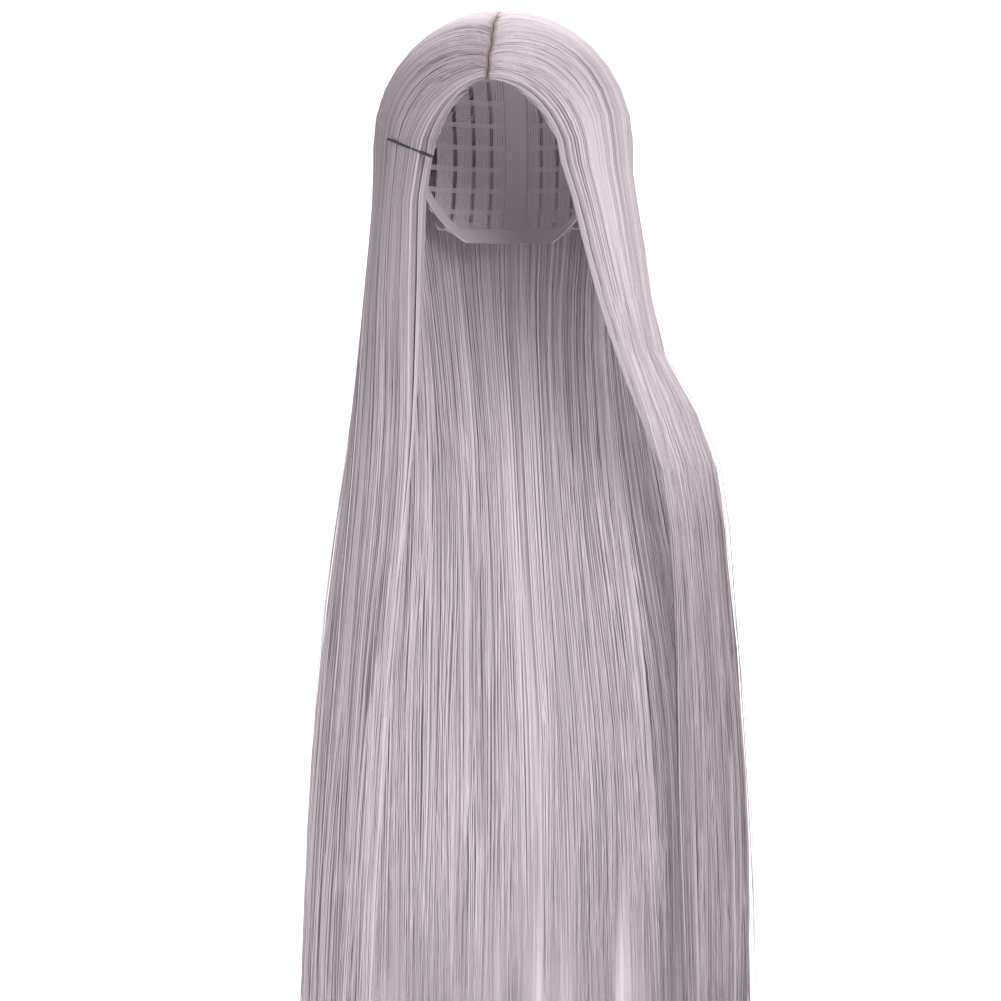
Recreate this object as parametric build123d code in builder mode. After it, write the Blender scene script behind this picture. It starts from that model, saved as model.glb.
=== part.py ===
"""Long centre-parted costume wig: a wefted cap, its hair and the pin in the hair. Millimetres.

The origin is the centre of the wearer's head at its widest level. +Z is up, the wearer faces -Y
and +X is the wearer's left. Layers of the cap are given as gaps from the head form.
"""
import os

from build123d import *

os.makedirs("parts", exist_ok=True)

# ---- Head form and hair volume ------------------------------------------------------------
HEAD_HALF_WIDTH = 75.0      # along X
HEAD_RADIUS = 95.0          # in the side view; with the half width it gives a 54 cm head
HAIR_INNER_HALF_WIDTH = 79.0
HAIR_INNER_RADIUS = 98.6
HAIR_OUTER_HALF_WIDTH = 102.0
HAIR_OUTER_RADIUS = 106.0
REACH = 160.0               # half size of any cutting shape

# ---- Cap layers, as (inner gap, outer gap) ------------------------------------------------
RIBBON_LAYER = (0.0, 0.8)
NET_LAYER = (0.85, 1.65)
TRACK_LAYER = (1.75, 2.8)
EAR_TAB_LAYER = (0.0, 1.6)
EAR_STAY_LAYER = (1.65, 2.45)

# ---- Cap outline in the side view: hairline, temple, over the ear, nape -------------------
CAP_EDGE = [(-104, 68), (-80, 51), (-56, 22), (-50, -4), (-26, -4), (-16, 7), (14, 6), (30, -42),
            (44, -72), (130, -72), (130, 130), (-130, 130)]
BINDING_WIDTH = 12.0
RIBBON_HALF_WIDTH = 9.0
RIBBON_GAP = 0.6
NET_STRIP_COUNT = 9
NET_STRIP_WIDTH = 11.0
NET_STRIP_SPACING = 14.0
PARTING_HALF_WIDTH = 13.0
PARTING_BACK = 34.0
PARTING_SLIT = 4.0
TRACK_HEIGHTS = [80, 62, 44, 26, 8, -10, -28, -46, -62]
TRACK_WIDTH = 4.0
SIDES = (("left", 1), ("right", -1))

# ---- Ear tabs -----------------------------------------------------------------------------
EAR_TAB_TOP = -5.2
EAR_TAB_BOTTOM = -44.0
EAR_TAB_FRONT = -49.0
EAR_TAB_BACK = -26.0
EAR_TAB_MIDDLE = -38.0
EAR_TAB_TAPER = 5.0
EAR_TAB_ROUND = 8.0
EAR_STAY_WIDTH = 4.0
EAR_STAY_MARGIN = 10.0

# ---- Nape adjusters -----------------------------------------------------------------------
ADJUSTER_X = 38.0
ADJUSTER_Z = -57.0
ADJUSTER_GAP = 3.6
STRAP_LENGTH = 36.0
STRAP_WIDTH = 7.0
STRAP_THICKNESS = 1.0
SLEEVE_LENGTH = 13.0
SLEEVE_WALL = 0.8
SLEEVE_CLEARANCE = 0.35
HOOK_LENGTH = 9.0
HOOK_WIDTH = 8.0
HOOK_FRAME = 2.0
HOOK_CORNER = 1.5
HOOK_TONGUE_WIDTH = 1.4
STRAP_OVERHANG = 6.0        # how far the strap reaches out of its sleeve towards the middle
LOOP_COUNT = 4
LOOP_START = 22.5           # distance of the first loop from the middle of the nape
LOOP_SPACING = 5.0
LOOP_RADIUS = 2.2
LOOP_WIRE = 0.45

# ---- Pin ----------------------------------------------------------------------------------
PIN_OPEN_END = Vector(-78.2, -74.2, 2.2)
PIN_CLOSED_END = Vector(-39.3, -105.6, -14.1)
PIN_WIRE = 0.9
PIN_DEPTH = 1.8
PIN_LEG_SPACING = 1.9
PIN_CRIMP = 0.7
PIN_CRIMP_START = 16.0
PIN_CRIMP_PITCH = 5.0
PIN_LEG_STARTS = (2.0, 5.0)      # long straight leg, shorter crimped leg
PIN_TIP_RADIUS = 0.92

# ---- Long hair ----------------------------------------------------------------------------
CROWN_BOTTOM = -24.0
FACE_HALF_WIDTH = 46.0      # the face shows between the front edges of the hair
FACE_ARCH_TOP = 43.0
FACE_ARCH_SHOULDER = (31.0, 22.0)
FACE_ARCH_FOOT = -12.0
LAYER_GAP = 0.8
LAYERS = ("outer", "middle", "inner")
TIP_Z = {"outer": -880.0, "middle": -850.0, "inner": -815.0}

# Each row is a level: z, then start, middle and end (x, y) of the lock's middle line, then
# its thickness.
BACK_LEVELS = [
    (-31, (-97.6, 8), (0, 103.8), (97.6, 8), 3.6),
    (-120, (-99, 32), (2, 115), (103, 40), 7.0),
    (-240, (-118, 74), (5, 126), (128, 84), 8.0),
    (-500, (-145, 112), (10, 143), (168, 114), 9.0),
]
BACK_TIP = ((-158, 122), (14, 148), (188, 122), 3.0)
TIP_LAYER_SPACING = 8.0

FRONT_RIGHT_LEVELS = [
    (-28, (-50, -86), (-79, -56), (-93, -14), 13.0),
    (-95, (-53, -90), (-79, -68), (-95, -30), 14.0),
    (-215, (-57, -98), (-84, -88), (-106, -60), 14.0),
    (-395, (-78, -104), (-107, -99), (-131, -82), 15.0),
    (-680, (-98, -108), (-129, -105), (-153, -94), 15.0),
    (-860, (-104, -110), (-131, -108), (-157, -100), 4.0),
]
FRONT_LEFT_LEVELS = [
    (-28, (50, -86), (79, -56), (93, -14), 13.0),
    (-85, (66, -72), (90, -45), (108, -8), 14.0),
    (-145, (86, -40), (104, -18), (116, 8), 15.0),
    (-200, (112, 4), (128, 22), (143, 38), 14.0),
    (-260, (127, 44), (144, 52), (159, 60), 13.0),
    (-400, (140, 74), (162, 78), (179, 84), 14.0),
    (-690, (148, 84), (174, 88), (192, 96), 14.0),
    (-870, (150, 86), (174, 90), (190, 98), 4.0),
]


def save(name, solid):
    """Label a finished piece and write it under its own name."""
    solid.label = name
    export_step(solid, f"parts/{name}.step")


def dome(half_width_in, radius_in, half_width_out, radius_out):
    """Closed shell between two domes that are round in the side view; for use in a BuildPart."""
    with BuildSketch(Plane.XY) as profile:
        with BuildLine():
            EllipticalCenterArc((0, 0), half_width_out, radius_out, start_angle=0, arc_size=180)
            Line((-half_width_out, 0), (-half_width_in, 0))
            EllipticalCenterArc((0, 0), half_width_in, radius_in, start_angle=0, arc_size=180)
            Line((half_width_in, 0), (half_width_out, 0))
        make_face()
    revolve(profile.sketch, axis=Axis.X)


def head_layer(gaps):
    """One layer of the cap, all round the head form."""
    inner, outer = gaps
    dome(HEAD_HALF_WIDTH + inner, HEAD_RADIUS + inner, HEAD_HALF_WIDTH + outer, HEAD_RADIUS + outer)


def cap_area(inset=0.0):
    """The area inside the cap's edge in the side view, less a margin along the edge."""
    with BuildSketch(Plane.YZ) as area:
        with BuildLine():
            Polyline(*CAP_EDGE, close=True)
        make_face()
        if inset:
            offset(amount=-inset, kind=Kind.INTERSECTION)
    return area.sketch


def keep_cap_area(inset=0.0):
    """Keep what lies inside the cap's edge, seen from the side."""
    extrude(cap_area(inset), amount=REACH, both=True, mode=Mode.INTERSECT)


def cut_cap_area(inset):
    """Remove what lies further in than the given distance from the cap's edge."""
    extrude(cap_area(inset), amount=REACH, both=True, mode=Mode.SUBTRACT)


def block(low, high, mode):
    """Add, cut or keep a box given by its lowest and highest corners."""
    size = Vector(*high) - Vector(*low)
    centre = (Vector(*high) + Vector(*low)) * 0.5
    with Locations(centre):
        Box(size.X, size.Y, size.Z, mode=mode)


def level_arc(level):
    """Closed face along an arc at one height: outer arc, end, inner arc, end."""
    z, start, middle, end, thickness = level
    centre_line = ThreePointArc(start, middle, end, mode=Mode.PRIVATE)
    centre = centre_line.arc_center
    radius = (Vector(*middle) - centre).length
    points = {}
    for side in (1, -1):
        scale = (radius + side * thickness / 2) / radius
        points[side] = [centre + (Vector(*p) - centre) * scale for p in (start, middle, end)]
    with BuildSketch(Plane.XY.offset(z)) as band:
        with BuildLine():
            ThreePointArc(*points[1])
            Line(points[1][2], points[-1][2])
            ThreePointArc(*reversed(points[-1]))
            Line(points[-1][0], points[1][0])
        make_face()
    return band.sketch


def move_inwards(level, distance):
    """The same level, closer to the middle of its arc by a distance."""
    z, start, middle, end, thickness = level
    centre = ThreePointArc(start, middle, end, mode=Mode.PRIVATE).arc_center
    moved = []
    for point in (start, middle, end):
        arm = Vector(*point) - centre
        moved.append(tuple(centre + arm * ((arm.length - distance) / arm.length))[:2])
    return (z, *moved, thickness)


# ---- Cap: lengthwise strips of net, bindings, ribbons -------------------------------------
for number in range(1, NET_STRIP_COUNT + 1):
    middle_x = (number - (NET_STRIP_COUNT + 1) / 2) * NET_STRIP_SPACING
    with BuildPart() as net_strip:
        head_layer(NET_LAYER)
        keep_cap_area()
        block((middle_x - NET_STRIP_WIDTH / 2, -REACH, -REACH),
              (middle_x + NET_STRIP_WIDTH / 2, REACH, REACH), Mode.INTERSECT)
    save(f"net_strip_{number}", net_strip.part)

with BuildPart() as front_binding:
    head_layer(RIBBON_LAYER)
    keep_cap_area()
    cut_cap_area(BINDING_WIDTH)
    block((-REACH, -REACH, -REACH), (REACH, -RIBBON_GAP / 2, REACH), Mode.INTERSECT)
save("front_binding", front_binding.part)

with BuildPart() as nape_band:
    head_layer(RIBBON_LAYER)
    keep_cap_area()
    cut_cap_area(BINDING_WIDTH)
    block((-REACH, RIBBON_GAP / 2, -REACH), (REACH, REACH, REACH), Mode.INTERSECT)
save("nape_band", nape_band.part)

with BuildPart() as centre_ribbon:
    head_layer(RIBBON_LAYER)
    keep_cap_area(BINDING_WIDTH + RIBBON_GAP)
    block((-RIBBON_HALF_WIDTH, -REACH, -REACH), (RIBBON_HALF_WIDTH, REACH, REACH), Mode.INTERSECT)
save("centre_ribbon", centre_ribbon.part)

for side, sign in SIDES:
    near, far = sorted((sign * (RIBBON_HALF_WIDTH + RIBBON_GAP), sign * REACH))
    with BuildPart() as side_ribbon:
        head_layer(RIBBON_LAYER)
        keep_cap_area(BINDING_WIDTH + RIBBON_GAP)
        block((near, -RIBBON_HALF_WIDTH, 0), (far, RIBBON_HALF_WIDTH, REACH), Mode.INTERSECT)
    save(f"side_ribbon_{side}", side_ribbon.part)

# ---- Parting skin and the hair wefts ------------------------------------------------------
with BuildPart() as parting_base:
    head_layer(TRACK_LAYER)
    keep_cap_area(RIBBON_GAP)
    block((-PARTING_HALF_WIDTH, -REACH, 0), (PARTING_HALF_WIDTH, PARTING_BACK, REACH), Mode.INTERSECT)
save("parting_base", parting_base.part)

for number, height in enumerate(TRACK_HEIGHTS, start=1):
    with BuildPart() as weft_track:
        head_layer(TRACK_LAYER)
        keep_cap_area(RIBBON_GAP)
        block((-REACH, -REACH, height - TRACK_WIDTH / 2), (REACH, REACH, height + TRACK_WIDTH / 2),
              Mode.INTERSECT)
        block((-PARTING_HALF_WIDTH - RIBBON_GAP, -REACH, 0),
              (PARTING_HALF_WIDTH + RIBBON_GAP, PARTING_BACK + RIBBON_GAP, REACH), Mode.SUBTRACT)
    save(f"weft_track_{number}", weft_track.part)

# ---- Ear tabs with their stays ------------------------------------------------------------
tab_back_foot = (EAR_TAB_BACK - EAR_TAB_TAPER, EAR_TAB_BOTTOM + EAR_TAB_ROUND)
tab_front_foot = (EAR_TAB_FRONT + EAR_TAB_TAPER, EAR_TAB_BOTTOM + EAR_TAB_ROUND)
for side, sign in SIDES:
    near, far = sorted((0, sign * REACH))
    with BuildPart() as ear_tab:
        head_layer(EAR_TAB_LAYER)
        with BuildSketch(Plane.YZ):
            with BuildLine():
                Line((EAR_TAB_FRONT, EAR_TAB_TOP), (EAR_TAB_BACK, EAR_TAB_TOP))
                Line((EAR_TAB_BACK, EAR_TAB_TOP), tab_back_foot)
                ThreePointArc(tab_back_foot, (EAR_TAB_MIDDLE, EAR_TAB_BOTTOM), tab_front_foot)
                Line(tab_front_foot, (EAR_TAB_FRONT, EAR_TAB_TOP))
            make_face()
        extrude(amount=REACH, both=True, mode=Mode.INTERSECT)
        block((near, -REACH, -REACH), (far, REACH, REACH), Mode.INTERSECT)
    save(f"ear_tab_{side}", ear_tab.part)

    with BuildPart() as ear_stay:
        head_layer(EAR_STAY_LAYER)
        with BuildSketch(Plane.YZ):
            with Locations((EAR_TAB_MIDDLE, (EAR_TAB_TOP + EAR_TAB_BOTTOM) / 2)):
                SlotOverall(EAR_TAB_TOP - EAR_TAB_BOTTOM - EAR_STAY_MARGIN, EAR_STAY_WIDTH, rotation=90)
        extrude(amount=REACH, both=True, mode=Mode.INTERSECT)
        block((near, -REACH, -REACH), (far, REACH, REACH), Mode.INTERSECT)
    save(f"ear_stay_{side}", ear_stay.part)


# ---- Nape adjusters -----------------------------------------------------------------------
def head_point(x, z, gap):
    """Point at the back of the head form and the outward direction there."""
    half_width = HEAD_HALF_WIDTH + gap
    radius = HEAD_RADIUS + gap
    y = radius * (1 - (x / half_width) ** 2 - (z / radius) ** 2) ** 0.5
    return Vector(x, y, z), Vector(x / half_width**2, y / radius**2, z / radius**2).normalized()


def adjuster_plane(sign):
    """Plane on the nape; its X runs level towards the middle of the nape, its Z outwards."""
    point, outward = head_point(sign * ADJUSTER_X, ADJUSTER_Z, ADJUSTER_GAP)
    level = outward.cross(Vector(0, 0, 1)).normalized() * -sign
    return Plane(origin=point, x_dir=level, z_dir=outward)


for side, sign in SIDES:
    seat = adjuster_plane(sign)
    opening_height = STRAP_THICKNESS + 2 * SLEEVE_CLEARANCE
    sleeve_height = opening_height + 2 * SLEEVE_WALL
    strap_rest = SLEEVE_WALL + SLEEVE_CLEARANCE
    with BuildPart() as sleeve:
        with BuildSketch(seat):
            with Locations((-SLEEVE_LENGTH / 2, 0)):
                Rectangle(SLEEVE_LENGTH, STRAP_WIDTH + 2 * SLEEVE_CLEARANCE + 2 * SLEEVE_WALL)
        extrude(amount=sleeve_height)
        with BuildSketch(seat.offset(SLEEVE_WALL)):
            with Locations((-SLEEVE_LENGTH / 2, 0)):
                Rectangle(SLEEVE_LENGTH, STRAP_WIDTH + 2 * SLEEVE_CLEARANCE)
        extrude(amount=opening_height, mode=Mode.SUBTRACT)
    save(f"adjuster_sleeve_{side}", sleeve.part)

    with BuildPart() as strap:
        with BuildSketch(seat.offset(strap_rest)):
            with Locations((STRAP_OVERHANG - STRAP_LENGTH / 2, 0)):
                Rectangle(STRAP_LENGTH, STRAP_WIDTH)
        extrude(amount=STRAP_THICKNESS)
    save(f"adjuster_strap_{side}", strap.part)

    with BuildPart() as hook:
        with BuildSketch(seat.offset(strap_rest)):
            with Locations((STRAP_OVERHANG + HOOK_LENGTH / 2, 0)):
                RectangleRounded(HOOK_LENGTH, HOOK_WIDTH, HOOK_CORNER)
                Rectangle(HOOK_LENGTH - 2 * HOOK_FRAME, HOOK_WIDTH - 2 * HOOK_FRAME, mode=Mode.SUBTRACT)
                with Locations((-HOOK_FRAME / 2, 0)):
                    Rectangle(HOOK_LENGTH - 2 * HOOK_FRAME, HOOK_TONGUE_WIDTH)
        extrude(amount=STRAP_THICKNESS)
    save(f"adjuster_hook_{side}", hook.part)

    with BuildPart() as loops:
        for index in range(LOOP_COUNT):
            foot, outward = head_point(sign * (LOOP_START - LOOP_SPACING * index), ADJUSTER_Z - 3,
                                       TRACK_LAYER[1] + 0.15)
            along = outward.cross(Vector(0, 0, 1)).normalized()
            up = along.cross(outward)
            with BuildSketch(Plane(origin=foot, x_dir=up, z_dir=along)):
                with BuildLine():
                    CenterArc((0, 0), LOOP_RADIUS, 180, 180)
                trace(line_width=2 * LOOP_WIRE)
            extrude(amount=LOOP_WIRE, both=True)
    save(f"adjuster_loops_{side}", loops.part)

# ---- Hair over the crown ------------------------------------------------------------------
arch_x, arch_z = FACE_ARCH_SHOULDER
for side, sign in SIDES:
    near, far = sorted((sign * PARTING_SLIT / 2, sign * REACH))
    with BuildPart() as crown:
        dome(HAIR_INNER_HALF_WIDTH, HAIR_INNER_RADIUS, HAIR_OUTER_HALF_WIDTH, HAIR_OUTER_RADIUS)
        block((near, -REACH, CROWN_BOTTOM), (far, REACH, REACH), Mode.INTERSECT)
        with BuildSketch(Plane.XZ):
            with BuildLine():
                Line((-FACE_HALF_WIDTH, -REACH), (-FACE_HALF_WIDTH, FACE_ARCH_FOOT))
                Spline((-FACE_HALF_WIDTH, FACE_ARCH_FOOT), (-arch_x, arch_z), (0, FACE_ARCH_TOP),
                       (arch_x, arch_z), (FACE_HALF_WIDTH, FACE_ARCH_FOOT))
                Line((FACE_HALF_WIDTH, FACE_ARCH_FOOT), (FACE_HALF_WIDTH, -REACH))
                Line((FACE_HALF_WIDTH, -REACH), (-FACE_HALF_WIDTH, -REACH))
            make_face()
        extrude(amount=REACH, mode=Mode.SUBTRACT)
    save(f"hair_crown_{side}", crown.part)

# ---- Long hair: three layers behind, a lock at each side in front -------------------------
for index, layer in enumerate(LAYERS):
    levels = [move_inwards(level, index * (level[-1] + LAYER_GAP)) for level in BACK_LEVELS]
    levels.append(move_inwards((TIP_Z[layer], *BACK_TIP), index * TIP_LAYER_SPACING))
    with BuildPart() as back_layer:
        loft([level_arc(level) for level in levels], ruled=True)
    save(f"hair_back_{layer}", back_layer.part)

for side, levels in (("right", FRONT_RIGHT_LEVELS), ("left", FRONT_LEFT_LEVELS)):
    with BuildPart() as front_lock:
        loft([level_arc(level) for level in levels], ruled=True)
    save(f"hair_front_{side}", front_lock.part)

# ---- Pin ----------------------------------------------------------------------------------
pin_direction = (PIN_CLOSED_END - PIN_OPEN_END).normalized()
pin_middle = (PIN_CLOSED_END + PIN_OPEN_END) * 0.5
pin_outward = (pin_middle - pin_direction * pin_middle.dot(pin_direction)).normalized()
pin_length = (PIN_CLOSED_END - PIN_OPEN_END).length

# The pin's own plane: X from the open end to the closed bend, Y outwards from the head.
pin_plane = Plane(origin=PIN_OPEN_END, x_dir=pin_direction, z_dir=pin_direction.cross(pin_outward))
bend_radius = PIN_LEG_SPACING / 2
bend_x = pin_length - bend_radius
outer_start, inner_start = PIN_LEG_STARTS
crimps = [(PIN_CRIMP_START + PIN_CRIMP_PITCH * step, -bend_radius + PIN_CRIMP * (step % 2))
          for step in (4, 3, 2, 1, 0)]
with BuildPart() as bobby_pin:
    with BuildSketch(pin_plane):
        with BuildLine():
            Line((outer_start, bend_radius), (bend_x, bend_radius))
            ThreePointArc((bend_x, bend_radius), (pin_length, 0), (bend_x, -bend_radius))
            Line((bend_x, -bend_radius), crimps[0])
            Spline(*crimps, tangents=((-1, 0), (-1, 0)))
            Line(crimps[-1], (inner_start, -bend_radius))
        trace(line_width=PIN_WIRE)
    extrude(amount=PIN_DEPTH / 2, both=True)
save("bobby_pin", bobby_pin.part)

with BuildPart() as pin_tips:
    for x, y in ((outer_start, bend_radius), (inner_start, -bend_radius)):
        with Locations(pin_plane.from_local_coords(Vector(x - PIN_TIP_RADIUS - 0.05, y, 0))):
            Sphere(PIN_TIP_RADIUS)
save("pin_tips", pin_tips.part)
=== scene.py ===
"""Looks of the long costume wig: loose fibres over a wefted lace cap, in metres, in the CAD frame.

The hair is built from locks. A lock is a stack of arcs, one at each height; a fibre keeps its
place along the arc (across, 0 to 1) and through the thickness (depth, 0 inside to 1 outside), so
it runs from the parting over the dome and down through every arc of its lock.
"""
import math
from collections import namedtuple

import bpy
import numpy as np
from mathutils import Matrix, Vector


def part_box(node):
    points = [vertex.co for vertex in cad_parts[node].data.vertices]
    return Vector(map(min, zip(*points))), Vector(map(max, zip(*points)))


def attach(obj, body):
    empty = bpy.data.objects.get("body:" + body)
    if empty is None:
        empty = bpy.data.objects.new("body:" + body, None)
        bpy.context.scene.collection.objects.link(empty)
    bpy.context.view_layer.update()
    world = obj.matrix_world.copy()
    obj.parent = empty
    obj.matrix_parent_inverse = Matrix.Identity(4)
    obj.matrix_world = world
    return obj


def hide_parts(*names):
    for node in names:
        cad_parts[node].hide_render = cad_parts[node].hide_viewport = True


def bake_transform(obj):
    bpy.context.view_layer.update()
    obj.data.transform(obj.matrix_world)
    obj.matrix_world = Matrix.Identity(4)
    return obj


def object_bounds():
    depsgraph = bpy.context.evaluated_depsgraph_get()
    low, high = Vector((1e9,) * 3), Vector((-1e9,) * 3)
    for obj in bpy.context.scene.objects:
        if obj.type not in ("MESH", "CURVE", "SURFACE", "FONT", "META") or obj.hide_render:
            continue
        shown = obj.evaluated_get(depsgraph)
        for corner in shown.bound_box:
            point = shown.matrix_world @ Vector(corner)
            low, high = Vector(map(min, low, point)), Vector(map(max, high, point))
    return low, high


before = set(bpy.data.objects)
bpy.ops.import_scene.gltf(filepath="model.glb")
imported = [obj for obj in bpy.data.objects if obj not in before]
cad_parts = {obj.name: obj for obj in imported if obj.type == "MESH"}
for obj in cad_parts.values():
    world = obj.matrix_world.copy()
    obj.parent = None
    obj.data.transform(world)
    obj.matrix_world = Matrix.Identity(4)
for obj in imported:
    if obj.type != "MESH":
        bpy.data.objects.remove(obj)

CAD_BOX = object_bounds()

# ---- Sizes read from the frame ------------------------------------------------------------
DOME = np.array(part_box("hair_crown_left")[1])      # half width, reach behind and height
CAP_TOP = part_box("parting_base")[1][2]
CAP_HALF_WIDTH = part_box("weft_track_5")[1][0]
SCALP = np.array([CAP_HALF_WIDTH, CAP_TOP, CAP_TOP])
TIP_Z = {name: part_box(name)[0][2] for name in
         ("hair_front_right", "hair_front_left", "hair_back_outer", "hair_back_inner")}
FLOOR_Z = CAD_BOX[0][2] - 0.02

# ---- Parting, and the hair's way over the dome ----------------------------------------------
PARTING_FRONT = math.radians(65.0)     # from the top of the head towards the forehead
PARTING_BACK = math.radians(-17.0)
PARTING_HALF_GAP = 0.0004
PARTING_WANDER = 0.0009                # how far the line strays to either side
ROOT_LIFT = 0.74                       # share of the hair's height reached at the parting
RISE_SHARE = 0.10                      # share of the way down the dome used for the rest
WEFT_RISE_SHARE = 0.34                 # the same for fibres that start at a weft
FRONT_AZIMUTH = 26.0                   # degrees round the head from the face, at the first roots
WHORL_AZIMUTH = 135.0                  # and at the last ones
DRAWN_AZIMUTH = 75.0                   # nearer the face than this the hair is drawn forward,
DRAWN_RANGE = 50.0                     # fully so after this many degrees more
DRAWN_SHARE = 0.36                     # share of the azimuth lost halfway down the dome
HALFWAY_ELEVATION = 52.0               # degrees above the ears, halfway down the dome
HALFWAY_DROP = 32.0                    # how much lower that is where the hair is drawn forward

# ---- Fibres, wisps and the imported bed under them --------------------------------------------
FIBRE_RADIUS = 0.00042
FIBRE_SIDES = 3
DOME_STEPS = 12
HANG_STEPS = 17
ROOT_CROWDING = 1.45                   # steps lie closer together near the roots,
FALL_CROWDING = 1.35                   # and again below the ears
FIBRES_PER_PIECE = 1100
FIBRES_PER_WISP = 16
WISP_SPREAD = 0.035                    # share of the piece's width
GATHER_DROP = 0.75                     # drop below the ears at which wisps are gathered
SWAY = 0.0022                          # how far a wisp wanders as it falls
SWAY_DROP = 0.5                        # and the drop at which it wanders that far
STRAY_PUSH = (0.001, 0.006)
STRAY_DROP = 0.35
DARK_WISPS = 0.04                      # share of wisps that lie in shade as fine dark lines
DARK_WISP_TINT = 0.20
EDGE_FADE = 0.15                       # drop over which the shades across a lock come in
PARTING_SHADE = 0.8                        # strength of the painted shade at a root in the parting, a darkened skin brown
PARTING_SHADE_LENGTH = 0.0025
STREAKS_ACROSS = 330                   # steps of the streak pattern across a lock
STREAKS_ALONG = 7                      # and per metre along it
BED_THICKNESS = 0.0022
BED_RIDGE = 0.00022
BED_STEPS = (24, 30)

# ---- Locks: height, then (x, y) at the start, middle and end of the arc, then thickness ----
FRONT_RIGHT = [
    (0.000, (-0.0460, -0.0920), (-0.0775, -0.0610), (-0.0950, -0.0080), 0.012),
    (-0.028, (-0.0515, -0.0935), (-0.0785, -0.0620), (-0.0955, -0.0085), 0.012),
    (-0.095, (-0.0550, -0.0930), (-0.0800, -0.0700), (-0.0985, -0.0150), 0.013),
    (-0.215, (-0.0590, -0.0980), (-0.0840, -0.0880), (-0.1055, -0.0540), 0.013),
    (-0.395, (-0.0750, -0.1040), (-0.1025, -0.0990), (-0.1250, -0.0800), 0.014),
    (-0.680, (-0.0930, -0.1080), (-0.1220, -0.1050), (-0.1430, -0.0920), 0.014),
    (-0.875, (-0.0990, -0.1100), (-0.1260, -0.1080), (-0.1490, -0.0980), 0.010),
]
FRONT_LEFT = [
    (0.000, (0.0555, -0.0835), (0.0800, -0.0550), (0.0950, -0.0070), 0.012),
    (-0.040, (0.0655, -0.0765), (0.0860, -0.0510), (0.1000, -0.0080), 0.012),
    (-0.085, (0.0760, -0.0640), (0.0940, -0.0400), (0.1070, -0.0050), 0.013),
    (-0.130, (0.0870, -0.0430), (0.1025, -0.0220), (0.1135, 0.0040), 0.013),
    (-0.170, (0.0985, -0.0180), (0.1130, -0.0020), (0.1240, 0.0160), 0.013),
    (-0.205, (0.1100, 0.0060), (0.1305, 0.0210), (0.1460, 0.0340), 0.013),
    (-0.240, (0.1215, 0.0300), (0.1440, 0.0390), (0.1620, 0.0480), 0.012),
    (-0.280, (0.1290, 0.0480), (0.1520, 0.0550), (0.1700, 0.0630), 0.012),
    (-0.340, (0.1350, 0.0630), (0.1580, 0.0690), (0.1760, 0.0760), 0.013),
    (-0.430, (0.1400, 0.0760), (0.1660, 0.0810), (0.1860, 0.0870), 0.013),
    (-0.560, (0.1440, 0.0820), (0.1730, 0.0860), (0.1955, 0.0930), 0.013),
    (-0.720, (0.1480, 0.0850), (0.1780, 0.0890), (0.2000, 0.0970), 0.013),
    (-0.875, (0.1510, 0.0860), (0.1770, 0.0900), (0.1980, 0.0980), 0.010),
]
BACK = [
    (0.000, (-0.0960, -0.0150), (0.000, 0.1028), (0.0960, -0.0150), 0.008),
    (-0.030, (-0.0960, -0.0120), (0.000, 0.1030), (0.0960, -0.0120), 0.009),
    (-0.120, (-0.0990, 0.0120), (0.002, 0.1080), (0.1030, 0.0180), 0.018),
    (-0.240, (-0.1150, 0.0680), (0.005, 0.1170), (0.1290, 0.0780), 0.024),
    (-0.500, (-0.1370, 0.1040), (0.010, 0.1340), (0.1740, 0.1060), 0.026),
    (-0.720, (-0.1460, 0.1110), (0.013, 0.1390), (0.1880, 0.1120), 0.024),
    (-0.880, (-0.1500, 0.1140), (0.014, 0.1420), (0.1920, 0.1150), 0.018),
]


# ===== Geometry helpers ====================================================================
def unit(vectors):
    return vectors / np.linalg.norm(vectors, axis=-1, keepdims=True)


def smooth(value):
    value = np.clip(value, 0, 1)
    return value * value * (3 - 2 * value)


def slerp(a, b, t):
    """Great-circle blend of unit vectors a and b, each (n, 1 or s, 3), at each t (n, s)."""
    angle = np.maximum(np.arccos(np.clip(np.sum(a * b, -1), -1, 1)), 1e-6)
    share_a = np.sin((1 - t) * angle) / np.sin(angle)
    share_b = np.sin(t * angle) / np.sin(angle)
    return share_a[..., None] * a + share_b[..., None] * b


def direction(azimuth, elevation, side):
    """Unit vector from the azimuth round the head (0 at the face, degrees) and the elevation."""
    azimuth, elevation = np.broadcast_arrays(np.radians(azimuth), np.radians(elevation))
    level = np.cos(elevation)
    return np.stack([side * np.sin(azimuth) * level, -np.cos(azimuth) * level,
                     np.sin(elevation)], -1)


class Arc:
    """A circle through three points, walked from start to end."""

    def __init__(self, start, middle, end):
        a, b, c = (complex(*p) for p in (start, middle, end))
        w = (c - a) / (b - a)
        self.centre = a - (a - b) * (w - abs(w) ** 2) / (2j * w.imag)
        self.radius = abs(a - self.centre)
        first, mid, last = (np.angle(p - self.centre) for p in (a, b, c))
        turn = (last - first) % (2 * np.pi)
        if (mid - first) % (2 * np.pi) > turn:
            turn -= 2 * np.pi
        self.first = first
        self.turn = turn

    def points(self, across, out):
        """(x, y) at a share of the arc's length, moved away from its centre by out."""
        angle = self.first + self.turn * across
        radius = self.radius + out
        return self.centre.real + radius * np.cos(angle), self.centre.imag + radius * np.sin(angle)


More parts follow.
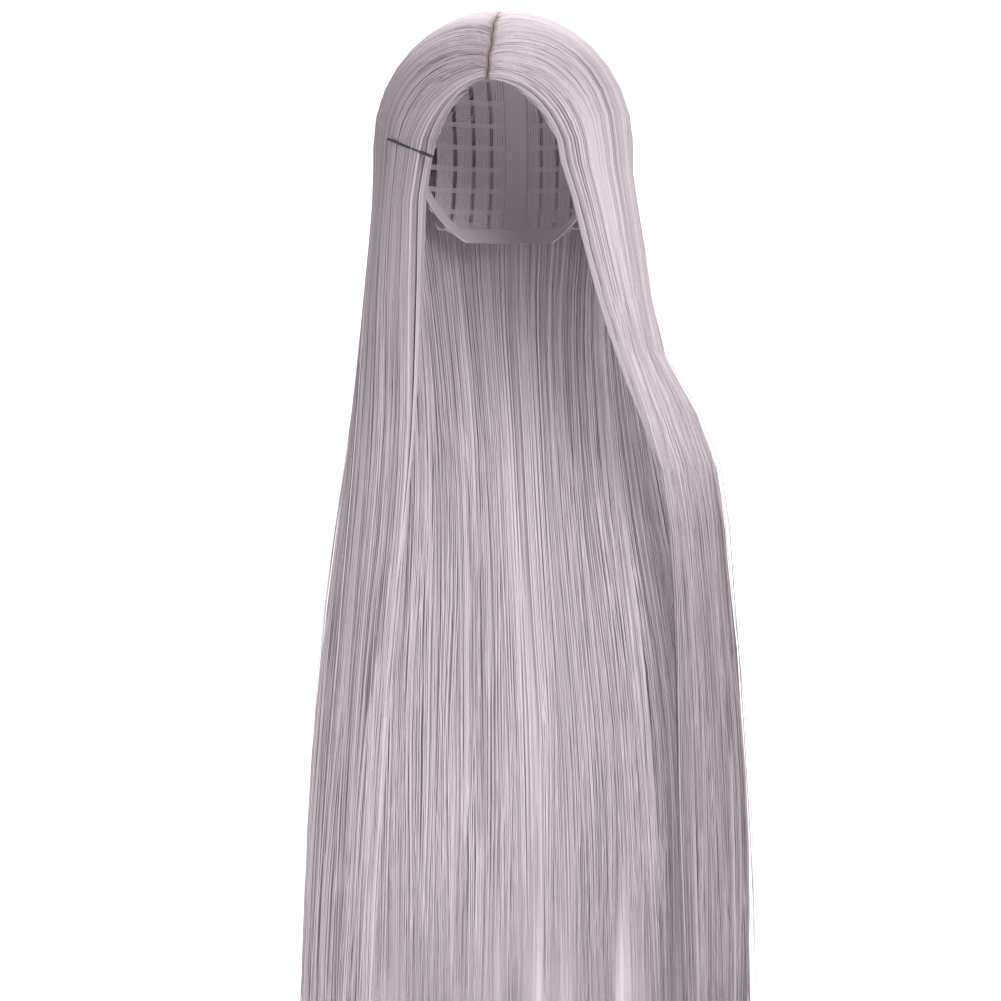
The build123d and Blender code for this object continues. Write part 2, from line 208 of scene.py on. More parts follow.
class Lock:
    """Arcs at falling heights, joined by smooth curves."""

    def __init__(self, levels):
        self.z = np.array([level[0] for level in levels])
        self.arcs = [Arc(*level[1:4]) for level in levels]
        # An arc that bulges the other way round has its outside towards its centre.
        self.outward = [np.sign(arc.turn * self.arcs[0].turn) for arc in self.arcs]
        self.thickness = np.array([level[4] for level in levels])

    def hang(self, across, depth, z):
        """Points (n, s, 3) of n fibres at the heights z (n, s)."""
        n = len(across)
        xs = np.empty((n, len(self.z)))
        ys = np.empty((n, len(self.z)))
        for k, arc in enumerate(self.arcs):
            out = (depth - 0.5) * self.thickness[k] * self.outward[k]
            xs[:, k], ys[:, k] = arc.points(across, out)
        return np.stack([cubic(self.z, xs, z), cubic(self.z, ys, z), z], -1)


def cubic(knots, values, at):
    """Smooth curve through values (n, k) at falling knots, read at (n, s); level at the top."""
    slope = np.gradient(values, knots, axis=1)
    slope[:, 0] = 0
    k = np.clip(np.searchsorted(-knots, -at, side="right") - 1, 0, len(knots) - 2)
    width = knots[k + 1] - knots[k]
    t = (at - knots[k]) / width
    rows = np.arange(len(values))[:, None]
    p0, p1 = values[rows, k], values[rows, k + 1]
    m0, m1 = slope[rows, k] * width, slope[rows, k + 1] * width
    t2, t3 = t * t, t * t * t
    return ((2 * t3 - 3 * t2 + 1) * p0 + (t3 - 2 * t2 + t) * m0
            + (-2 * t3 + 3 * t2) * p1 + (t3 - t2) * m1)


def scalp_share(unit_direction):
    """Where the cap lies along a direction, as a share of the dome's own size."""
    return 1 / np.linalg.norm(unit_direction * DOME / SCALP, axis=-1)


def roots_in_parting(azimuth, side, shift):
    """Unit vectors (n, 3) to the roots of fibres that leave the dome at each azimuth."""
    back_share = smooth((azimuth - FRONT_AZIMUTH) / (WHORL_AZIMUTH - FRONT_AZIMUTH))
    back_share = np.clip(back_share + shift, 0, 1)
    lean = PARTING_FRONT + (PARTING_BACK - PARTING_FRONT) * back_share
    wander = PARTING_WANDER * np.sin(9 * lean) * np.cos(23 * lean)
    gap = (side * PARTING_HALF_GAP + wander) / DOME[0]
    return unit(np.stack([gap, -np.sin(lean), np.cos(lean)], -1))


def comb(lock, side, across, depth, start, tip_z, steps=(DOME_STEPS, HANG_STEPS), shift=0.0):
    """Paths (n, s, 3): from the parting (start 0) or a weft (start up to 1) to the tip.

    side is -1 or 1 for one side of the parting, or 0 for hair on both; shift moves the roots
    along the parting.
    """
    top = lock.hang(across, depth, np.zeros((len(across), 1)))[:, 0]
    if side == 0:
        side = np.where(top[:, 0] >= 0, 1.0, -1.0)
    azimuth = np.degrees(np.arctan2(side * top[:, 0] / DOME[0], -top[:, 1] / DOME[1]))
    forward = smooth((DRAWN_AZIMUTH - azimuth) / DRAWN_RANGE)
    root = roots_in_parting(azimuth, side, shift)[:, None]
    halfway = direction(azimuth * (1 - DRAWN_SHARE * forward),
                        HALFWAY_ELEVATION - HALFWAY_DROP * forward, side)[:, None]
    equator = direction(azimuth, 0.0, side)[:, None]
    start = start[:, None]
    t = start + (1 - start) * np.linspace(0, 1, steps[0]) ** ROOT_CROWDING
    over = unit(slerp(slerp(root, halfway, t), slerp(halfway, equator, t), t))
    # The hair rises from the cap (scalp) to the height at which its lock starts (end_lift).
    scalp = scalp_share(over)
    rim = scalp_share(equator)
    end_lift = (np.hypot(top[:, 0] / DOME[0], top[:, 1] / DOME[1])[:, None] - rim) / (1 - rim)
    rise_share = np.where(start == 0, RISE_SHARE, WEFT_RISE_SHARE)
    risen = 1 - (1 - np.clip((t - start) / rise_share, 0, 1)) ** 2
    risen = np.where(start == 0, ROOT_LIFT + (1 - ROOT_LIFT) * risen, risen)
    lift = scalp + (1 - scalp) * end_lift * risen
    fall = np.linspace(0, 1, steps[1] + 1)[1:] ** FALL_CROWDING
    hanging = lock.hang(across, depth, fall * tip_z[:, None])
    return np.concatenate([over * DOME * lift[..., None], hanging], 1)


# ===== Meshes ==============================================================================
def new_object(name, vertices, quads, triangles=()):
    """Smooth mesh object from arrays; quads (q, 4) and triangles (t, 3)."""
    mesh = bpy.data.meshes.new(name)
    parts = [quads.reshape(-1)]
    sizes = [np.full(len(quads), 4)]
    if len(triangles):
        parts.append(triangles.reshape(-1))
        sizes.append(np.full(len(triangles), 3))
    corners = np.concatenate(parts).astype(np.int32)
    sizes = np.concatenate(sizes).astype(np.int32)
    starts = np.concatenate([[0], np.cumsum(sizes)[:-1]]).astype(np.int32)
    mesh.vertices.add(len(vertices))
    mesh.vertices.foreach_set("co", vertices.astype(np.float32).reshape(-1))
    mesh.loops.add(len(corners))
    mesh.loops.foreach_set("vertex_index", corners)
    mesh.polygons.add(len(sizes))
    mesh.polygons.foreach_set("loop_start", starts)
    mesh.polygons.foreach_set("loop_total", sizes)
    mesh.polygons.foreach_set("use_smooth", np.ones(len(sizes), bool))
    mesh.update(calc_edges=True)
    mesh.validate()
    piece = bpy.data.objects.new(name, mesh)
    bpy.context.scene.collection.objects.link(piece)
    return piece


def paint(piece, tint, root, strand):
    """Store each vertex's tint with its painted light and shade, the painted shade near a root in the
    parting, and its place in the comb.
    """
    for name, values in (("tint", tint), ("root", root)):
        attribute = piece.data.attributes.new(name, "FLOAT", "POINT")
        attribute.data.foreach_set("value", values.astype(np.float32))
    attribute = piece.data.attributes.new("strand", "FLOAT_VECTOR", "POINT")
    attribute.data.foreach_set("vector", strand.astype(np.float32).reshape(-1))


def strand_values(paths, across, start, layer):
    """Painted shade near the root in the parting (n, s), and place in the comb (n, s, 3): across,
    distance, layer.
    """
    steps = np.linalg.norm(np.diff(paths, axis=1), axis=-1)
    distance = np.concatenate([np.zeros((len(paths), 1)), np.cumsum(steps, 1)], 1)
    # painted shade in the parting, fading over the first few millimetres from a root
    root = PARTING_SHADE * np.exp(-distance / PARTING_SHADE_LENGTH) * (start[:, None] == 0)
    across = across[:, None] * STREAKS_ACROSS * np.ones_like(distance)
    place = np.stack([across, distance * STREAKS_ALONG, np.full_like(distance, layer)], -1)
    return root, place


def painted_light_at(painted_light_map, across, z):
    """Painted light and shade (n, s): lighter and darker areas by height, and across the lock below
    its edge top.
    """
    by_height = np.interp(-z, painted_light_map.drops, painted_light_map.shades)
    by_place = np.interp(across, painted_light_map.places, painted_light_map.edges)[:, None]
    return by_height + by_place * smooth((painted_light_map.edge_top - z) / EDGE_FADE)


def fibre_mesh(paths, radii):
    """Closed thin tubes along paths (n, s, 3) with radii (n, s)."""
    n, s, _ = paths.shape
    tangent = unit(np.gradient(paths, axis=1))
    outward = paths * np.array([1, 1, 0.4])
    outward = outward - np.sum(outward * tangent, -1, keepdims=True) * tangent
    outward = unit(outward + 1e-9)
    sideways = np.cross(tangent, outward)
    angles = np.arange(FIBRE_SIDES) * 2 * np.pi / FIBRE_SIDES
    ring = (np.cos(angles)[:, None, None, None] * outward
            + np.sin(angles)[:, None, None, None] * sideways)
    vertices = paths[None] + ring * radii[None, ..., None]
    vertices = vertices.transpose(1, 2, 0, 3).reshape(-1, 3)
    index = np.arange(n * s * FIBRE_SIDES).reshape(n, s, FIBRE_SIDES)
    following = np.roll(index, -1, axis=2)
    quads = np.stack([index[:, :-1], following[:, :-1], following[:, 1:], index[:, 1:]], -1)
    caps = np.concatenate([index[:, 0, ::-1], index[:, -1]])
    return vertices, quads.reshape(-1, 4), caps


def fibre_radii(paths, random):
    """Radii (n, s): thinner at the root, and tapering over the last part."""
    n, s, _ = paths.shape
    along = np.linspace(0, 1, s)[None, :]
    base = FIBRE_RADIUS * random.uniform(0.7, 1.25, (n, 1))
    return base * (0.75 + 0.25 * smooth(along / 0.15)) * (1 - 0.75 * smooth((along - 0.86) / 0.14))


def gather(paths, middle_lines, random):
    """Draw fibres towards the middle line of their wisp as they fall."""
    below = smooth(-paths[..., 2] / GATHER_DROP)[..., None]
    share = below * random.uniform(0.15, 0.6, len(paths))[:, None, None]
    paths[..., :2] += (middle_lines[..., :2] - paths[..., :2]) * share


def sway(paths, wisp, wisps, random):
    """Let each wisp wander a little as it falls."""
    phase = random.uniform(0, 2 * np.pi, (2, wisps))[:, wisp, None]
    wave = random.uniform(3.0, 7.0, wisps)[wisp, None]
    drop = smooth(-paths[..., 2] / SWAY_DROP)
    for axis in (0, 1):
        paths[..., axis] += SWAY * drop * np.sin(wave * paths[..., 2] * 2 + phase[axis])


def push_strays(paths, share, random):
    """Push a share of the fibres out of the lock."""
    loose = random.random(len(paths)) < share
    push = np.where(loose, random.uniform(*STRAY_PUSH, len(paths)), 0)[:, None]
    out = unit(paths * np.array([1, 1, 0]) + 1e-9)
    paths += out * (push * smooth(-paths[..., 2] / STRAY_DROP))[..., None]


def hair_piece(name, lock, side, body, fibres, seed, depth_range, painted_light_map, tip, from_parting,
               across_range=(0, 1), stray=0.0, shade=0.0):
    """Loose fibres of one lock, gathered into wisps that close up towards the ends."""
    random = np.random.default_rng(seed)
    wisps = max(8, fibres // FIBRES_PER_WISP)
    wisp = random.integers(0, wisps, fibres)
    wisp_across = random.uniform(*across_range, wisps)
    wisp_depth = random.uniform(*depth_range, wisps)
    spread = (across_range[1] - across_range[0]) * WISP_SPREAD
    across = np.clip(wisp_across[wisp] + random.normal(0, spread, fibres), *across_range)
    across = across + random.normal(0, 0.002, fibres)
    depth = np.clip(wisp_depth[wisp] + random.normal(0, 0.09, fibres), 0.0, 1.0)
    rooted = random.random(fibres) < from_parting
    start = np.where(rooted, 0.0, random.uniform(0.15, 0.8, fibres))
    start = np.where(depth < 0.35, np.maximum(start, random.uniform(0.3, 0.9, fibres)), start)
    tip_z = tip * (1 - 0.05 * random.random(wisps)[wisp] - 0.03 * random.random(fibres) ** 2)
    shift = random.normal(0, 0.012, fibres)
    paths = comb(lock, side, across, depth, start, tip_z, shift=shift)
    middle_lines = comb(lock, side, np.clip(wisp_across, 0.005, 0.995), wisp_depth,
                        np.zeros(wisps), np.full(wisps, tip))
    gather(paths, middle_lines[wisp], random)
    sway(paths, wisp, wisps, random)
    if stray:
        push_strays(paths, stray, random)
    piece = new_object(name, *fibre_mesh(paths, fibre_radii(paths, random)))
    wisp_tint = random.normal(0, 0.05, wisps) \
        - DARK_WISP_TINT * (random.random(wisps) < DARK_WISPS)
    # a whole piece is made lighter or darker here as painted light and shade
    fibre_tint = 0.5 + shade + wisp_tint[wisp] + random.normal(0, 0.07, fibres)
    # painted light and shade by height and across the lock go into each fibre's tint
    tint = fibre_tint[:, None] + painted_light_at(painted_light_map, across, paths[..., 2])
    root, place = strand_values(paths, across, start, seed)
    paint(piece, np.repeat(tint.reshape(-1), FIBRE_SIDES), np.repeat(root.reshape(-1), FIBRE_SIDES),
          np.repeat(place.reshape(-1, 3), FIBRE_SIDES, axis=0))
    finish_hair(piece)


def bed_mesh(middle, out, back):
    """Closed layer round the points middle (n, s, 3), moved out to one face and back to the other."""
    n, s, _ = middle.shape
    vertices = np.concatenate([(middle + out).reshape(-1, 3), (middle - back).reshape(-1, 3)])
    index = np.arange(n * s).reshape(n, s)
    outer = np.stack([index[:-1, :-1], index[1:, :-1], index[1:, 1:], index[:-1, 1:]], -1)
    outer = outer.reshape(-1, 4)
    inner = outer[:, ::-1] + n * s
    loop = np.concatenate([index[:, 0], index[-1, 1:], index[-2::-1, -1], index[0, -2:0:-1]])
    after = np.roll(loop, -1)
    rim = np.stack([after, loop, loop + n * s, after + n * s], -1)
    return vertices, np.concatenate([outer, inner, rim])


def bed_piece(name, lock, side, seed, depth, tip, painted_light_map, replaces, columns=280, shade=-0.06):
    """Closed ridged layer of packed fibres under the loose ones."""
    random = np.random.default_rng(seed)
    across = np.linspace(0, 1, columns)
    fine = random.normal(0, 1, columns)
    broad = np.convolve(random.normal(0, 1, columns + 8), np.ones(9) / 3, "valid")
    ridge = 0.6 * fine + 0.4 * broad
    tips = tip * (0.955 + 0.02 * np.convolve(random.random(columns + 4), np.ones(5) / 5, "valid"))
    start = np.zeros(columns)
    middle = comb(lock, side, across, np.full(columns, depth), start, tips, steps=BED_STEPS)
    tangent = unit(np.gradient(middle, axis=1))
    sideways = unit(np.gradient(middle, axis=0) + 1e-12)
    normal = unit(np.cross(sideways, tangent))
    normal = normal * np.sign(np.sum(normal * middle * np.array([1, 1, 0.3]), -1, keepdims=True))
    along = np.linspace(0, 1, middle.shape[1])
    half = 0.5 * BED_THICKNESS * (1 - 0.7 * smooth((along - 0.85) / 0.15))[None, :, None]
    bump = (BED_RIDGE * ridge)[:, None, None]
    piece = new_object(name, *bed_mesh(middle, normal * (half + bump), normal * (half - bump)))
    # painted shade: by default the bed under the loose fibres is a little darker, and the lock's
    # painted light and shade are added
    tint = 0.5 + shade + 0.05 * ridge[:, None] + painted_light_at(painted_light_map, across, middle[..., 2])
    root, place = strand_values(middle, across, start, seed)
    paint(piece, np.tile(tint.reshape(-1), 2), np.tile(root.reshape(-1), 2),
          np.tile(place.reshape(-1, 3), (2, 1)))
    finish_hair(piece, replaces)


def finish_hair(piece, replaces=()):
    """Material and slot, the CAD parts it replaces hidden, and its transform applied to the mesh."""
    piece.data.materials.append(HAIR)
    if replaces:
        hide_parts(*replaces)
    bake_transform(piece)


# ===== Materials ===========================================================================
def material(name, colour, roughness, **inputs):
    """A Principled material; returns it with its node tree and main node."""
    made = bpy.data.materials.new(name)
    made.use_nodes = True
    main = made.node_tree.nodes["Principled BSDF"]
    main.inputs["Base Color"].default_value = (*colour, 1)
    main.inputs["Roughness"].default_value = roughness
    for key, value in inputs.items():
        main.inputs[key.replace("_", " ")].default_value = value
    return made, made.node_tree, main


def mix_colours(tree, factor, first, second):
    """Colour output that goes from first to second; each is a colour or another output."""
    mix = tree.nodes.new("ShaderNodeMix")
    mix.data_type = "RGBA"
    tree.links.new(factor, mix.inputs["Factor"])
    for name, colour in (("A", first), ("B", second)):
        if isinstance(colour, tuple):
            mix.inputs[name].default_value = (*colour, 1)
        else:
            tree.links.new(colour, mix.inputs[name])
    return mix.outputs["Result"]


def add_bump(tree, main, height, strength, distance):
    """Fine relief on the main node from a height output."""
    bump = tree.nodes.new("ShaderNodeBump")
    bump.inputs["Strength"].default_value = strength
    bump.inputs["Distance"].default_value = distance
    tree.links.new(height, bump.inputs["Height"])
    tree.links.new(bump.outputs["Normal"], main.inputs["Normal"])


def attribute_node(tree, name):
    node = tree.nodes.new("ShaderNodeAttribute")
    node.attribute_name = name
    return node


def noise_output(tree, place, scale, detail):
    noise = tree.nodes.new("ShaderNodeTexNoise")
    noise.inputs["Scale"].default_value = scale
    noise.inputs["Detail"].default_value = detail
    tree.links.new(place, noise.inputs["Vector"])
    return noise.outputs["Fac"]


def math_output(tree, operation, *terms):
    """Result of a sum on terms; each is a number or another output."""
    node = tree.nodes.new("ShaderNodeMath")
    node.operation = operation
    for socket, term in zip(node.inputs, terms):
        if isinstance(term, float):
            socket.default_value = term
        else:
            tree.links.new(term, socket)
    return node.outputs[0]


def hair_material():
    """Pale mauve-grey fibre: each fibre's tint with its painted light and shade, fine streaks along
    the comb, and painted shade at the roots in the parting, a darkened skin brown.
    """
    made, tree, main = material("hair_fibre", (0.55, 0.48, 0.51), 0.42, Specular_IOR_Level=0.35)
    tint = attribute_node(tree, "tint").outputs["Fac"]
    root = attribute_node(tree, "root").outputs["Fac"]
    strand = attribute_node(tree, "strand").outputs["Vector"]
    noise = noise_output(tree, strand, 1.0, 3.0)
    streak = math_output(tree, "MULTIPLY_ADD", noise, 0.34, -0.17)
    ramp = tree.nodes.new("ShaderNodeValToRGB")
    stops = ramp.color_ramp.elements
    stops[0].position = 0.0
    stops[0].color = (0.160, 0.128, 0.150, 1)
    stops[1].position = 1.0
    stops[1].color = (0.810, 0.730, 0.785, 1)
    for position, colour in ((0.25, (0.305, 0.252, 0.288, 1)), (0.50, (0.465, 0.400, 0.443, 1)),
                             (0.75, (0.640, 0.563, 0.610, 1))):
        stops.new(position).color = colour
    tree.links.new(math_output(tree, "ADD", tint, streak), ramp.inputs["Fac"])
    # painted shade in the parting: near their roots the fibres turn to a darkened skin brown
    shown = mix_colours(tree, root, ramp.outputs["Color"], (0.330, 0.235, 0.215))
    tree.links.new(shown, main.inputs["Base Color"])
    add_bump(tree, main, noise, 0.35, 0.0004)
    return made


def woven_material(name, colour, dark, scale, roughness=0.75):
    """Fine woven ribbon or elastic: crossing threads in colour and height."""
    made, tree, main = material(name, colour, roughness, Sheen_Weight=0.15)
    place = tree.nodes.new("ShaderNodeTexCoord").outputs["Object"]
    waves = []
    for axis in ("X", "Z"):
        wave = tree.nodes.new("ShaderNodeTexWave")
        wave.bands_direction = axis
        wave.inputs["Scale"].default_value = scale
        wave.inputs["Distortion"].default_value = 0.6
        tree.links.new(place, wave.inputs["Vector"])
        waves.append(wave.outputs["Fac"])
    both = math_output(tree, "MULTIPLY", *waves)
    tree.links.new(mix_colours(tree, both, dark, colour), main.inputs["Base Color"])
    add_bump(tree, main, both, 0.5, 0.0002)
    return made


def mottled_material(name, colour, dark, scale, roughness, bump_height=0.0, **inputs):
    """Solid material with a soft variation of colour and, if asked, a fine grain."""
    made, tree, main = material(name, colour, roughness, **inputs)
    place = tree.nodes.new("ShaderNodeTexCoord").outputs["Object"]
    noise = noise_output(tree, place, scale, 4.0)
    tree.links.new(mix_colours(tree, noise, dark, colour), main.inputs["Base Color"])
    if bump_height:
        add_bump(tree, main, noise, 0.6, bump_height)
    return made


HAIR = hair_material()
NET = mottled_material("net_lace", (0.76, 0.71, 0.75), (0.64, 0.59, 0.63), 600, 0.8, 0.0001)
RIBBON = woven_material("ribbon_weave", (0.74, 0.69, 0.73), (0.55, 0.50, 0.54), 450)
ELASTIC = woven_material("elastic_weave", (0.78, 0.74, 0.77), (0.58, 0.54, 0.57), 300, 0.8)
THREAD = mottled_material("weft_thread", (0.66, 0.60, 0.64), (0.48, 0.42, 0.46), 900, 0.7, 0.0003)
SKIN = mottled_material("parting_skin", (0.62, 0.47, 0.40), (0.50, 0.37, 0.32), 700, 0.55, 0.00008)
STEEL = mottled_material("stay_steel", (0.62, 0.62, 0.64), (0.45, 0.45, 0.47), 300, 0.35,
                         Metallic=1.0)
PLASTIC = mottled_material("hook_plastic", (0.80, 0.78, 0.78), (0.70, 0.68, 0.68), 200, 0.3)
ENAMEL = mottled_material("pin_enamel", (0.020, 0.018, 0.022), (0.008, 0.008, 0.009), 500, 0.28,
                          0.00002, Coat_Weight=0.4)
PIN_TIP = mottled_material("pin_tip", (0.012, 0.012, 0.012), (0.006, 0.006, 0.006), 500, 0.4)

NODE_MATERIALS = {
    RIBBON: ["front_binding", "centre_ribbon", "side_ribbon_left", "side_ribbon_right",
             "ear_tab_left", "ear_tab_right", "adjuster_sleeve_left", "adjuster_sleeve_right"],
    ELASTIC: ["nape_band", "adjuster_strap_left", "adjuster_strap_right"],
    THREAD: ["adjuster_loops_left", "adjuster_loops_right"]
            + [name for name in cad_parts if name.startswith("weft_track_")],
    SKIN: ["parting_base"],
    STEEL: ["ear_stay_left", "ear_stay_right"],
    PLASTIC: ["adjuster_hook_left", "adjuster_hook_right"],
    ENAMEL: ["bobby_pin"],
    PIN_TIP: ["pin_tips"],
}


def dress_nodes():
    """Give each CAD node that stays visible its material."""
    for finish, names in NODE_MATERIALS.items():
        for name in names:
            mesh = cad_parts[name].data
            mesh.materials.clear()
            mesh.materials.append(finish)


# ===== Lace strips =========================================================================
LACE_CELL = 0.0022
LACE_HOLE = 0.31                       # hole radius as a share of the cell
LACE_CORNERS = 8                       # corners of a hole, and points round a cell's rim
HEAD = np.array([0.075, 0.095])        # half width and side radius of the head form
LACE_GAP = 0.00125


def strip_extent(name):
    """Low and high x of a CAD strip, and the angles round the X axis where each edge ends."""
    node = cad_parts[name]
    points = np.array([tuple(node.matrix_world @ v.co) for v in node.data.vertices])
    low, high = points[:, 0].min(), points[:, 0].max()
    # 0 is straight behind and 90 the top; the angles jump at -120, where no strip runs.
    angle = (np.degrees(np.arctan2(points[:, 2], points[:, 1])) + 120) % 360 - 120
    ends = []
    for edge in (low, high):
        near = angle[np.abs(points[:, 0] - edge) < 0.0005]
        ends.append((near.min(), near.max()))
    return low, high, ends


def lace_cells(columns, rows):
    """Corners (cells, 16, 2) in cell units: eight on each square cell's rim, eight on its hole."""
    turn = np.arange(LACE_CORNERS) * 2 * math.pi / LACE_CORNERS
    circle = np.stack([np.cos(turn), np.sin(turn)], -1)
    rim = circle / (np.abs(circle).max(1, keepdims=True) * 2)
    u, v = np.meshgrid(np.arange(columns) + 0.5, np.arange(rows) + 0.5, indexing="ij")
    middles = np.stack([u, v], -1).reshape(-1, 1, 2)
    return middles + np.concatenate([rim, LACE_HOLE * circle])


def lace_strip(name):
    """Perforated net over one lengthwise strip of the cap, parented to the cap's body."""
    low, high, ends = strip_extent(name)
    half_width, radius = HEAD + LACE_GAP
    middle = (low + high) / 2 / half_width
    level = math.sqrt(1 - middle ** 2)
    width = (high - low) * math.hypot(1, radius / half_width * middle / level)
    length = math.radians(np.mean([b - a for a, b in ends])) * radius * level
    columns = round(width / LACE_CELL)
    rows = round(length / LACE_CELL)
    cells = lace_cells(columns, rows)
    share = cells / (columns, rows)
    x = low + (high - low) * share[..., 0]
    first = ends[0][0] + (ends[1][0] - ends[0][0]) * share[..., 0]
    last = ends[0][1] + (ends[1][1] - ends[0][1]) * share[..., 0]
    swing = np.radians(first + (last - first) * share[..., 1])
    reach = radius * np.sqrt(1 - (x / half_width) ** 2)
    vertices = np.stack([x, reach * np.cos(swing), reach * np.sin(swing)], -1).reshape(-1, 3)
    base = np.arange(len(cells))[:, None, None] * 2 * LACE_CORNERS
    k = np.arange(LACE_CORNERS)
    after = (k + 1) % LACE_CORNERS
    ring = np.stack([k, after, after + LACE_CORNERS, k + LACE_CORNERS], -1)
    piece = new_object(f"lace_{name}", vertices, (base + ring).reshape(-1, 4))
    piece.data.materials.append(NET)
    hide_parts(name)
    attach(piece, "cap")


# ===== Hair ================================================================================
# Painted light and shade on each lock: shades at drops below the ears (metres, negative above them),
# where the lamps light the hair or leave it in shade, and shades of the edges at places across the
# lock, which count from edge_top down.
PaintedLightMap = namedtuple("PaintedLightMap", "drops shades places edges edge_top")
FRONT_RIGHT_PAINTED_LIGHT = PaintedLightMap((-0.10, -0.085, -0.055, 0.0, 0.08, 0.30, 0.87),
                          (0.30, 0.12, -0.18, -0.22, -0.14, 0.06, 0.09),
                          (0.0, 0.05, 0.12, 0.7, 1.0), (0.14, 0.14, 0.0, 0.0, 0.12), 0.3)
FRONT_LEFT_PAINTED_LIGHT = PaintedLightMap((-0.10, -0.085, -0.055, -0.01, 0.10, 0.22, 0.30, 0.87),
                         (0.30, 0.18, 0.00, 0.12, 0.17, 0.22, -0.04, 0.05),
                         (0.0, 0.10, 0.2, 1.0), (0.0, 0.04, 0.0, 0.0), 0.3)
BACK_PAINTED_LIGHT = PaintedLightMap((-0.10, -0.055, 0.0, 0.2, 0.4, 0.87), (0.20, 0.00, 0.06, 0.20, 0.30, 0.38),
                   (0.0, 0.4, 0.8, 1.0), (0.0, 0.0, 0.10, 0.14), -0.05)


def make_front_lock(label, levels, side, body, painted_light_map, seed):
    """One front lock: bed, three layers of fibres, and the edge along the face."""
    lock = Lock(levels)
    cad = f"hair_{label}"
    crown = cad.replace("front", "crown")
    tip = TIP_Z[cad]
    count = FIBRES_PER_PIECE
    bed_piece(f"{label}_bed", lock, side, seed, 0.45, tip, painted_light_map, (cad, crown))
    for layer, fibres, number, depths, rooted, options in (
            ("fibres_outer", count, 1, (0.72, 1.0), 0.96, {"stray": 0.03}),
            ("fibres_middle", count, 2, (0.4, 0.95), 0.85, {}),
            # painted shade: the inner fibres, deep in the lock, are darker
            ("fibres_inner", count // 2, 3, (0.0, 0.4), 0.0, {"shade": -0.15})):
        hair_piece(f"{label}_{layer}", lock, side, body, fibres, seed + number, depths, painted_light_map, tip,
                   rooted, **options)
    hair_piece(f"{label}_face_edge", lock, side, body, count // 8, seed + 4, (0.05, 0.5), painted_light_map,
               tip * 0.9, 1.0, across_range=(-0.035, 0.03), shade=0.04)


def make_back_hair():
    """The long hair behind: an outer and an inner bed, each under its own loose fibres."""
    lock = Lock(BACK)
    body = "back_hair"
    outer_tip = TIP_Z["hair_back_outer"]
    inner_tip = TIP_Z["hair_back_inner"]
    bed_piece("back_bed_outer", lock, 0, 30, 0.72, outer_tip, BACK_PAINTED_LIGHT,
              ("hair_back_outer", "hair_back_middle"), columns=460)
    # painted light: the inner bed at the back is lighter, standing in for light bounced inside the
    # hair where the lamps hardly reach
    bed_piece("back_bed_inner", lock, 0, 31, 0.25, inner_tip, BACK_PAINTED_LIGHT,
              ("hair_back_inner",), columns=460, shade=0.10)
    for index, part in enumerate(((0.0, 0.34), (0.33, 0.67), (0.66, 1.0))):
        hair_piece(f"back_fibres_outer_{index + 1}", lock, 0, body, FIBRES_PER_PIECE, 40 + index,
                   (0.7, 1.0), BACK_PAINTED_LIGHT, outer_tip, 0.95, across_range=part, stray=0.03)
    # painted light: the inner fibres at the back are lighter too, for the same bounced light
    for index, part in enumerate(((0.0, 0.5), (0.5, 1.0))):
        hair_piece(f"back_fibres_inner_{index + 1}", lock, 0, body, FIBRES_PER_PIECE, 50 + index,
                   (0.0, 0.3), BACK_PAINTED_LIGHT, inner_tip, 0.0, across_range=part, shade=0.12)


# ===== Studio ==============================================================================
CAMERA_DISTANCE = 1.50
CAMERA_HEIGHT = -0.124
CAMERA_TURN = math.radians(7.0)
CAMERA_PITCH = math.radians(5.9)
CAMERA_SENSOR = 36                     # millimetres, like the lens
CAMERA_LENS = 67.4326
CAMERA_SHIFT = -0.0024975              # share of the picture's width


def make_camera():
    data = bpy.data.cameras.new("camera")
    data.sensor_width = CAMERA_SENSOR
    data.lens = CAMERA_LENS
    data.shift_x = CAMERA_SHIFT
    camera = bpy.data.objects.new("camera", data)
    camera.location = (math.sin(CAMERA_TURN) * CAMERA_DISTANCE,
                       -math.cos(CAMERA_TURN) * CAMERA_DISTANCE, CAMERA_HEIGHT)
    camera.rotation_euler = (math.pi / 2 - CAMERA_PITCH, 0, CAMERA_TURN)
    bpy.context.scene.collection.objects.link(camera)
    bpy.context.scene.camera = camera


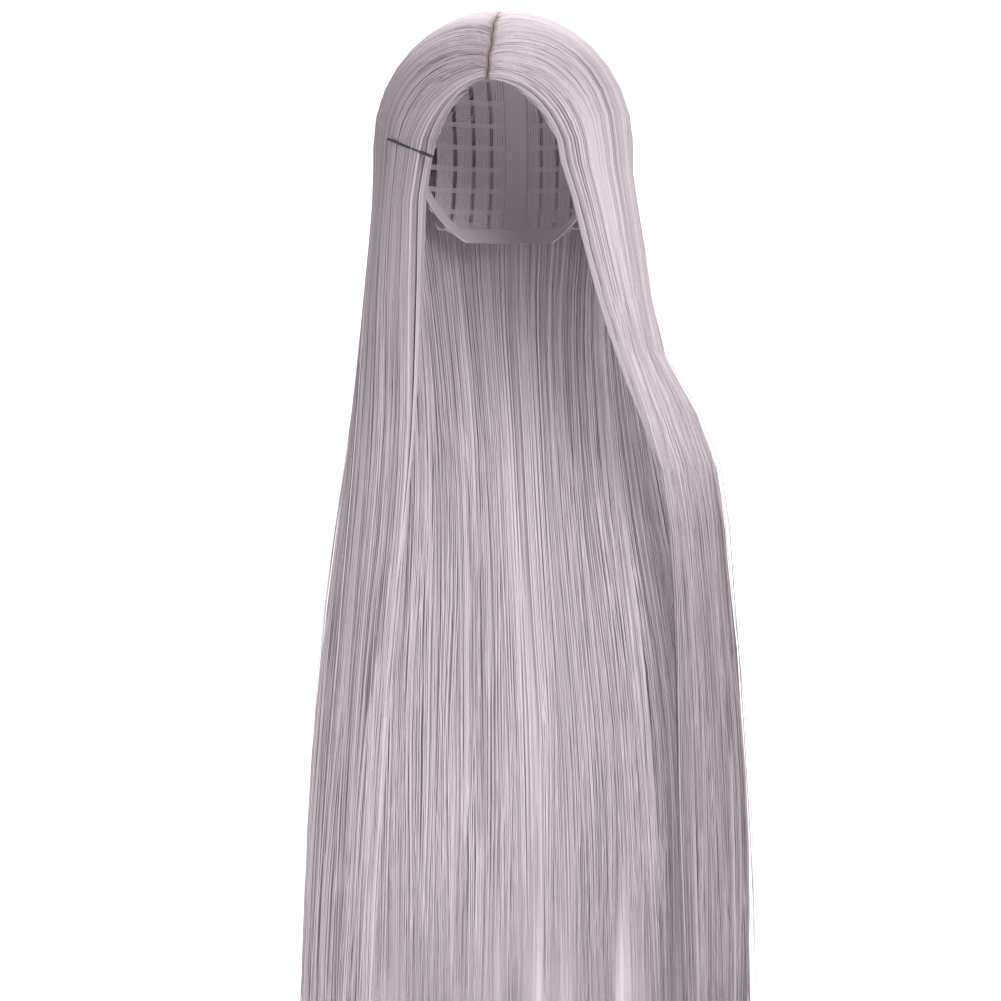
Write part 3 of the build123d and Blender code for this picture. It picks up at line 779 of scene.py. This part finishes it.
def area_light(name, place, target, size, power, colour=(1, 1, 1)):
    data = bpy.data.lights.new(name, "AREA")
    data.shape = "RECTANGLE"
    data.size, data.size_y = size
    data.energy = power
    data.color = colour
    light = bpy.data.objects.new(name, data)
    light.location = place
    light.rotation_euler = (Vector(target) - Vector(place)).to_track_quat("-Z", "Y").to_euler()
    bpy.context.scene.collection.objects.link(light)


def make_stage():
    """Pale floor that sweeps up into a backdrop behind the wig."""
    half_width, front, bend_start, bend, top = 12.0, -12.0, 2.6, 1.2, 5.0
    profile = [(front, FLOOR_Z)]
    for angle in np.linspace(0, math.pi / 2, 13):
        profile.append((bend_start + bend * math.sin(angle), FLOOR_Z + bend * (1 - math.cos(angle))))
    profile.append((bend_start + bend, top))
    vertices = np.array([(x, y, z) for x in (-half_width, half_width) for y, z in profile])
    count = len(profile)
    quads = np.array([(i, i + count, i + count + 1, i + 1) for i in range(count - 1)])
    floor = new_object("studio_floor", vertices, quads)
    pale = mottled_material("studio_white", (0.94, 0.94, 0.95), (0.92, 0.92, 0.93), 2, 0.9)
    floor.data.materials.append(pale)


def make_world():
    world = bpy.data.worlds.new("studio_world")
    bpy.context.scene.world = world
    world.use_nodes = True
    background = world.node_tree.nodes["Background"]
    background.inputs["Color"].default_value = (1, 1, 1, 1)
    background.inputs["Strength"].default_value = 0.55


def make_lights():
    """Soft key from the front left of the wearer, weaker fill, top light and backdrop light."""
    area_light("key", (1.35, -2.15, 1.0), (0, 0, -0.2), (1.2, 1.4), 48, (1.0, 0.99, 1.0))
    area_light("fill", (-1.9, -1.8, 0.2), (0, 0, -0.3), (1.6, 2.0), 20)
    area_light("top", (0.2, 0.3, 2.2), (0, 0, 0), (1.6, 1.6), 20)
    area_light("backdrop", (0, 0.8, 2.6), (0, 3.6, 0.2), (4.0, 1.0), 110)


# ===== The whole picture ===================================================================
dress_nodes()
for node_name in sorted(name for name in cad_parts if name.startswith("net_strip_")):
    lace_strip(node_name)
make_front_lock("front_right", FRONT_RIGHT, -1, "front_hair_right", FRONT_RIGHT_PAINTED_LIGHT, 10)
make_front_lock("front_left", FRONT_LEFT, 1, "front_hair_left", FRONT_LEFT_PAINTED_LIGHT, 20)
make_back_hair()
make_camera()
make_stage()
make_world()
make_lights()
bpy.context.scene.view_settings.view_transform = "Standard"
bpy.context.scene.view_settings.look = "None"
